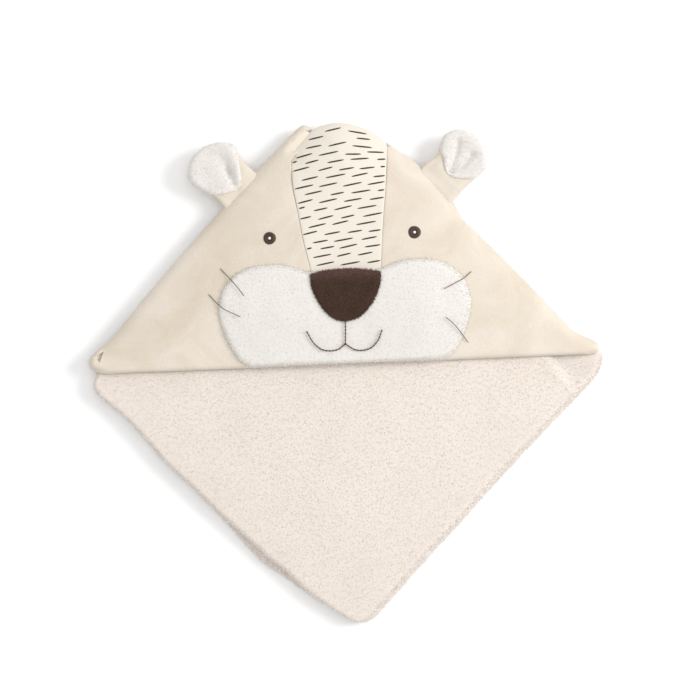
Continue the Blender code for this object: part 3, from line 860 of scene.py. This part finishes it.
def muzzle_surface(x, y, d=1.0):
    return hood_surface(x, y) + 0.0004 + (MUZZLE_LOFT + muzzle_puff(x, y)) * quarter_round(d / MUZZLE_RIM)


def plush_finish(name, dark, light, sheen, soft, painted_highlight=None):
    """Deep soft plush: the shade varies with the lie of the pile, and the edges catch the light; an optional
    band adds a painted highlight towards the top.
    """
    made, add, feed, grain = node_material(
        name, Roughness=0.95, Sheen_Weight=sheen, Sheen_Roughness=0.5, Specular_IOR_Level=0.15,
        Subsurface_Weight=soft, Subsurface_Radius=(1.0, 0.95, 0.9), Subsurface_Scale=0.0020)
    colour = blended(add, grain(70.0, Detail=3.0, Distortion=0.5), dark, light)
    # Painted highlight: between the two heights the colour turns to the lighter highlight colour.
    if painted_highlight:
        low, high, highlight_colour = painted_highlight
        where = add("ShaderNodeTexCoord").outputs["Object"]
        height = add("ShaderNodeSeparateXYZ", Vector=where).outputs["Y"]
        colour = blended(add, ranged(add, height, low, high), colour, highlight_colour)
    feed("Base Color", colour)
    feed("Normal", dented(add, grain(520.0, Detail=2.0), 0.35, 0.0008))
    return made


white_plush = plush_finish("plush_white", (0.701, 0.672, 0.632), (0.726, 0.701, 0.665), 0.4, 0.30)
muzzle = pad("muzzle_plush", muzzle_outline, 0.0036, MUZZLE_RIM, muzzle_surface,
             lambda x, y, d: hood_surface(x, y) + 0.0003, white_plush)
muzzle_pile = grow("muzzle_pile", faces_where(muzzle.data, lambda p, n: n.z > 0.90), white_plush,
                   170000, 0.0018, 0.00022, 1.35, 7)
muzzle_fringe = grow("muzzle_fringe", faces_where(muzzle.data, lambda p, n: -0.3 < n.z <= 0.93), white_plush,
                     620000, 0.0026, 0.00022, 0.9, 17)
on_upper_half(muzzle, "plush_white", "muzzle")
for piece in (muzzle_pile, muzzle_fringe):
    on_upper_half(piece, "plush_white")

# ---------------------------------------------------------------- nose
# A shield of dark brown plush on top of the muzzle and the foot of the stripe, combed downwards.
# Its upper edge is lighter and redder: a painted highlight.
nose_half = smooth_line([(0.0362, 0.0900), (0.0362, 0.0830), (0.0342, 0.0740), (0.0288, 0.0625),
                         (0.0205, 0.0520), (0.0110, 0.0452), (0, 0.0427)], 5)
nose_top = smooth_line([(-0.0315, 0.0903), (-0.0170, 0.0930), (0, 0.0937), (0.0180, 0.0930),
                        (0.0350, 0.0903)], 4)[1:-1]
NOSE_LEFT = 0.90
NOSE_RIM = 0.0050
NOSE_LOFT = 0.0026
nose_outline = nose_half + [Vector((-p.x * NOSE_LEFT, p.y)) for p in reversed(nose_half[:-1])] + nose_top


def nose_base(x, y):
    on_muzzle = eased((0.0965 - y) / 0.0050)
    return hood_surface(x, y) + 0.0010 + 0.0030 * on_muzzle


def nose_surface(x, y, d=1.0):
    puff = 0.0016 * near(x, 0, 0.024) * near(y, 0.075, 0.020)
    return nose_base(x, y) + (NOSE_LOFT + puff) * quarter_round(d / NOSE_RIM)


# The lighter reddish brown towards the top of the nose is a painted highlight.
brown_plush = plush_finish("plush_brown", (0.064, 0.027, 0.0135), (0.108, 0.056, 0.032), 0.25, 0.0,
                           painted_highlight=(0.0800, 0.0925, (0.150, 0.075, 0.062)))
nose = pad("nose_plush", nose_outline, 0.0026, NOSE_RIM, nose_surface,
           lambda x, y, d: nose_base(x, y), brown_plush)
nose_pile = grow("nose_pile", faces_where(nose.data, lambda p, n: n.z > 0.05), brown_plush,
                 3600000, 0.0021, 0.00018, 0.95, 8, combed=(0.35, 0, 0))
on_upper_half(nose, "plush_brown", "nose")
on_upper_half(nose_pile, "plush_brown")


# ---------------------------------------------------------------- mouth
# A short stem and two smiling curves in thick dark thread, back-stitched through the white plush: each
# stitch sinks a little at its ends, where it goes through the cloth.
STITCH_OVERLAP = 1.12


def stitch_tree():
    """Geometry nodes that lay one plump stitch after another along a line."""
    tree, add, given = geometry_tree("row_of_stitches", {"Stitch length": 0.003, "Thickness": 0.0012})
    line = add("GeometryNodeMeshToCurve", Mesh=given["Geometry"])
    spaced = add("GeometryNodeCurveToPoints", {"mode": "LENGTH"}, Curve=line.outputs["Curve"],
                 Length=given["Stitch length"])
    stitch = add("GeometryNodeMeshUVSphere", Segments=10, Rings=8, Radius=0.5)
    longer = add("ShaderNodeMath", {"operation": "MULTIPLY"}, Value=given["Stitch length"])
    longer.inputs[1].default_value = STITCH_OVERLAP
    shape = add("ShaderNodeCombineXYZ", X=given["Thickness"], Y=given["Thickness"],
                Z=longer.outputs[0])
    place = add("GeometryNodeInstanceOnPoints", Points=spaced.outputs["Points"],
                Instance=stitch.outputs["Mesh"], Rotation=spaced.outputs["Rotation"],
                Scale=shape.outputs[0])
    real = add("GeometryNodeRealizeInstances", Geometry=place.outputs[0])
    smooth = add("GeometryNodeSetShadeSmooth", Geometry=real.outputs[0])
    paint = add("GeometryNodeSetMaterial", Geometry=smooth.outputs[0], Material=given["Material"])
    add("NodeGroupOutput", Geometry=paint.outputs[0])
    return tree


stitches = stitch_tree()


def sewn(name, path, length, thickness, material):
    """A row of stitches along the path, as a piece of its own."""
    mesh = bpy.data.meshes.new("sewing_line")
    mesh.from_pydata([tuple(p) for p in path], [(i, i + 1) for i in range(len(path) - 1)], [])
    return worked(name, mesh, stitches, {"Stitch length": length, "Thickness": thickness,
                                         "Material": material})


def thread_finish(name, dark, light):
    """Twisted cotton thread with a faint shine."""
    made, add, feed, grain = node_material(name, Roughness=0.6, Sheen_Weight=0.2)
    strands = grain(1400.0, Detail=2.0)
    feed("Base Color", blended(add, strands, dark, light))
    feed("Normal", dented(add, strands, 0.4, 0.0002))
    return made


dark_thread = thread_finish("thread_brown", (0.048, 0.022, 0.010), (0.088, 0.047, 0.024))


def on_plush(points, lift):
    return [Vector((p.x, p.y, muzzle_surface(p.x, p.y) + lift)) for p in points]


stem_line = smooth_line([(-0.0004, 0.0440), (-0.0006, 0.0330), (-0.0013, 0.0203)], 8)
left_smile = smooth_line([(-0.0017, 0.0200), (-0.0080, 0.0152), (-0.0166, 0.0139), (-0.0255, 0.0160),
                          (-0.0330, 0.0230), (-0.0382, 0.0328)], 8)
right_smile = smooth_line([(-0.0009, 0.0200), (0.0070, 0.0145), (0.0151, 0.0131), (0.0240, 0.0152),
                           (0.0310, 0.0222), (0.0350, 0.0313)], 8)
for name, line, node in (("mouth_stem_stitches", stem_line, "mouth_stem"),
                         ("mouth_left_stitches", left_smile, "mouth_curve_left"),
                         ("mouth_right_stitches", right_smile, "mouth_curve_right")):
    row = sewn(name, on_plush(line, 0.0021), 0.0032, 0.00150, dark_thread)
    on_upper_half(row, "thread_brown", node)

# ---------------------------------------------------------------- eyes
# Each eye is a round of dark satin stitch, its threads lying out from the middle all the way round,
# with a knot of white thread in the centre.
EYE_RING = 0.0063
EYE_DOT = 0.0014
EYE_THREADS = 132
EYE_PLACE = (0.0716, 0.1275)
white_thread = thread_finish("thread_white", (0.880, 0.870, 0.840), (0.950, 0.940, 0.910))


def eye_threads(name, x, y, seed):
    """A closed ring of fine radial ridges, a little uneven at its outer edge."""
    draw = random.Random(seed)
    count, rings = EYE_THREADS, 9
    step = 0.002
    slope = Vector(((hood_surface(x - step, y) - hood_surface(x + step, y)) / (2 * step),
                    (hood_surface(x, y - step) - hood_surface(x, y + step)) / (2 * step), 1)).normalized()
    seat = Matrix.Translation((x, y, hood_surface(x, y))) @ slope.to_track_quat("Z", "Y").to_matrix().to_4x4()
    points, faces = [], []
    for i in range(count):
        angle = 2 * math.pi * i / count
        ragged = draw.uniform(-0.00016, 0.00016) + 0.00018 * math.sin(3 * angle + seed)
        for j in range(rings):
            turn = 2 * math.pi * j / rings
            radius = (EYE_RING + EYE_DOT * 0.8) / 2 + (EYE_RING + ragged - EYE_DOT * 0.8) / 2 * math.cos(turn)
            ridge = 1 + 0.20 * (-1) ** i
            height = 0.0013 * math.sin(turn) * (ridge if turn < math.pi else 0.4)
            points.append(seat @ Vector((radius * math.cos(angle), radius * math.sin(angle), height)))
    for i in range(count):
        for j in range(rings):
            a, b = i * rings, ((i + 1) % count) * rings
            k = (j + 1) % rings
            faces.append((a + j, b + j, b + k, a + k))
    ring = closed_piece(name, points, faces, dark_thread)
    knot = bpy.data.meshes.new(name.replace("ring", "knot"))
    bm = bmesh.new()
    bmesh.ops.create_icosphere(bm, subdivisions=3, radius=EYE_DOT)
    for v in bm.verts:
        v.co.z = v.co.z * 0.75 + 0.0004 + 0.00012 * math.sin(v.co.x * 9000)
        v.co = seat @ v.co
    bm.to_mesh(knot)
    bm.free()
    return ring, new_piece(knot.name, knot, white_thread)


for side, x, seed in (("left", -EYE_PLACE[0], 1), ("right", EYE_PLACE[0], 2)):
    ring, knot = eye_threads(f"eye_ring_{side}_satin", x, EYE_PLACE[1], seed)
    on_upper_half(ring, "thread_brown", "eye_ring_" + side)
    on_upper_half(knot, "thread_white", "eye_dot_" + side)

# ---------------------------------------------------------------- whiskers
# Four single dark threads, knotted into the muzzle's plush and sewn down on the velour at their tips.
WHISKER = 0.00036
WHISKER_LIFT = 0.0009
muzzle_ring = [tuple(p) for p in muzzle_outline]
for name, points in (
    ("left_upper", [(-0.1218, 0.0999), (-0.1075, 0.0833), (-0.0990, 0.0716)]),
    ("left_lower", [(-0.1344, 0.0750), (-0.1213, 0.0608), (-0.1035, 0.0511)]),
    ("right_upper", [(0.1263, 0.0866), (0.1164, 0.0791), (0.0981, 0.0702)]),
    ("right_lower", [(0.1203, 0.0163), (0.1078, 0.0338), (0.0986, 0.0424)]),
):
    route = smooth_line(points, 9)
    flat = [tuple(p) for p in route]
    heights = []
    for p, depth, on_muzzle in zip(route, from_line(flat, muzzle_ring, closed=True),
                                   inside(flat, muzzle_ring)):
        if on_muzzle:
            rest = muzzle_surface(p.x, p.y, depth)
            lift = WHISKER_LIFT + 0.0016 * eased(depth / 0.006)
        else:
            rest = hood_surface(p.x, p.y)
            lift = WHISKER_LIFT * (1 - eased(depth / 0.02))
        heights.append(rest + lift + 0.0004)
    for _ in range(4):
        before, after = heights[:1] + heights, heights[1:] + heights[-1:]
        heights = [max(h, (a + b) / 2) for h, a, b in zip(heights, before, after)]
    laid = [Vector((p.x, p.y, h)) for p, h in zip(route, heights)]
    whisker = soft_tube(f"whisker_{name}_thread", laid, [0.00015] + [WHISKER] * (len(laid) - 2) + [0.0003],
                        dark_thread, sides=8, flatten=1.0)
    on_upper_half(whisker, "thread_brown", "whisker_" + name)

# ---------------------------------------------------------------- ears
# Each ear is a small pad: a white plush front, puffed by thin wadding, and a beige velour back that
# wraps round both sides of its base.  The base is pinched, so soft creases run up from it.
EAR_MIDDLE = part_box("ear_left_wadding")
EAR_LEVEL = (EAR_MIDDLE[0].z + EAR_MIDDLE[1].z) / 2
EAR_SHIFT = 0.0015
EAR_SETBACK = 0.0035
EAR_SHAPES = {
    "left": {
        "outline": [(-24, -6), (-24, 8), (-24, 19.5), (-26.5, 29.5), (-29.5, 37), (-27, 44.5), (-19.5, 52.5),
                    (-6.5, 59), (9, 59.5), (21, 54), (26.5, 46), (26.5, 36.5), (21.5, 15), (24, -6)],
        "white": [(-25.5, 29.3), (-19.2, 20.6), (-12.0, 12.0), (-6.1, 6.2), (-1.0, 5.4), (4.0, 7.0),
                  (13.8, 13.2), (22.5, 20.5)],
        "creases": [([(0.8, 6.0), (-3.2, 17.3), (-7.0, 26.0)], 0.0026, 3.2),
                    ([(-6.5, 25.0), (-11.0, 36.0)], 0.0022, 6.0),
                    ([(8.0, 12.0), (15.0, 18.0), (19.0, 27.0)], 0.0010, 4.5),
                    ([(12.0, 0.0), (17.0, 14.0)], 0.0012, 2.5)],
    },
    "right": {
        "outline": [(-22.5, -7), (-24, 7), (-21, 21.5), (-27, 33), (-29, 41), (-24.5, 52), (-13.5, 59),
                    (-3.5, 60.5), (10.5, 58), (19, 52), (23.5, 43.5), (23, 33), (21, 12), (21.5, -7)],
        "white": [(-22.8, 26.0), (-17.5, 24.5), (-13.3, 22.0), (-8.5, 17.8), (-3.0, 14.8), (2.5, 14.4),
                  (11.4, 18.6), (22.5, 28.8)],
        "creases": [([(-0.5, 18.0), (-5.9, 30.7), (-13.9, 44.5)], 0.0022, 3.0),
                    ([(-0.5, 18.0), (5.0, 29.0), (4.8, 44.5)], 0.0024, 3.2),
                    ([(-18.5, 3.0), (-17.0, 15.0)], 0.0018, 2.2),
                    ([(8.0, 12.0), (19.0, 15.5)], 0.0016, 2.0)],
    },
}


def metres(points):
    return [(s / 1000, t / 1000) for s, t in points]


for side, sign, seed in (("left", -1, 41), ("right", 1, 42)):
    shape = EAR_SHAPES[side]
    hinge = next(j for j in frame["joints"] if j["name"] == f"ear_{side}_flop")
    root = Vector(hinge["pos_m"])
    outward = Vector((sign, 1, 0)).normalized()
    along = Vector((sign, -1, 0)).normalized()
    foot = root.xy.to_3d() + along * EAR_SHIFT - outward * EAR_SETBACK
    ear_frame = Matrix.Translation(foot) @ Matrix((along, outward, (0, 0, 1))).transposed().to_4x4()
    outline = smooth_line(metres(shape["outline"]), 4)
    edge_white = smooth_line(metres(shape["white"]), 4)
    outer = [p for p in outline if p.y > edge_white[0].y + 0.0008 or (p.x > 0 and p.y > edge_white[-1].y)]
    creases = [(metres(path), depth, width / 1000) for path, depth, width in shape["creases"]]

    def ear_height(s, t):
        """The ear's front: puffed between its creases, and cupped towards the rim."""
        rise = 0.0046 + 0.0012 * soft_wave(s, t, 0.020, seed)
        for path, depth, width in creases:
            rise -= depth * near(from_line([(s, t)], path)[0], 0, width)
        cup = 0.0012 * eased((math.hypot(s, t - 0.032) - 0.010) / 0.016)
        return EAR_LEVEL + (rise + cup) * (0.55 + 0.45 * eased(t / 0.016))

    def back_top(s, t, d):
        return EAR_LEVEL - 0.0012 + (ear_height(s, t) - EAR_LEVEL) * quarter_round(d / 0.007) * 0.80

    def back_under(s, t, d):
        return EAR_LEVEL - 0.0012 - 0.0040 * quarter_round(d / 0.009)

    def front_top(s, t, d):
        rim = from_line([(s, t)], outline)[0]
        loft = (ear_height(s, t) - EAR_LEVEL) * 0.30 * quarter_round(d / 0.004)
        return back_top(s, t, rim) + 0.0004 + loft + 0.0010 * quarter_round(d / 0.003)

    def front_under(s, t, d):
        return back_top(s, t, from_line([(s, t)], outline)[0]) - 0.0004

    back = pad(f"ear_{side}_back_velour", outline, 0.0022, 0.0060, back_top, back_under, velour, ear_frame)
    front = pad(f"ear_{side}_front_plush", outer + list(reversed(edge_white)), 0.0020, 0.0034, front_top,
                front_under, white_plush, ear_frame)
    pile = grow(f"ear_{side}_pile", faces_where(front.data, lambda p, n: n.z > -0.1), white_plush,
                450000, 0.0018, 0.00022, 1.15, seed)
    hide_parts(f"ear_{side}_back")
    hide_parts(f"ear_{side}_front", f"ear_{side}_wadding")
    for piece, slot in ((back, "velour_beige"), (front, "plush_white"), (pile, "plush_white")):
        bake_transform(piece)
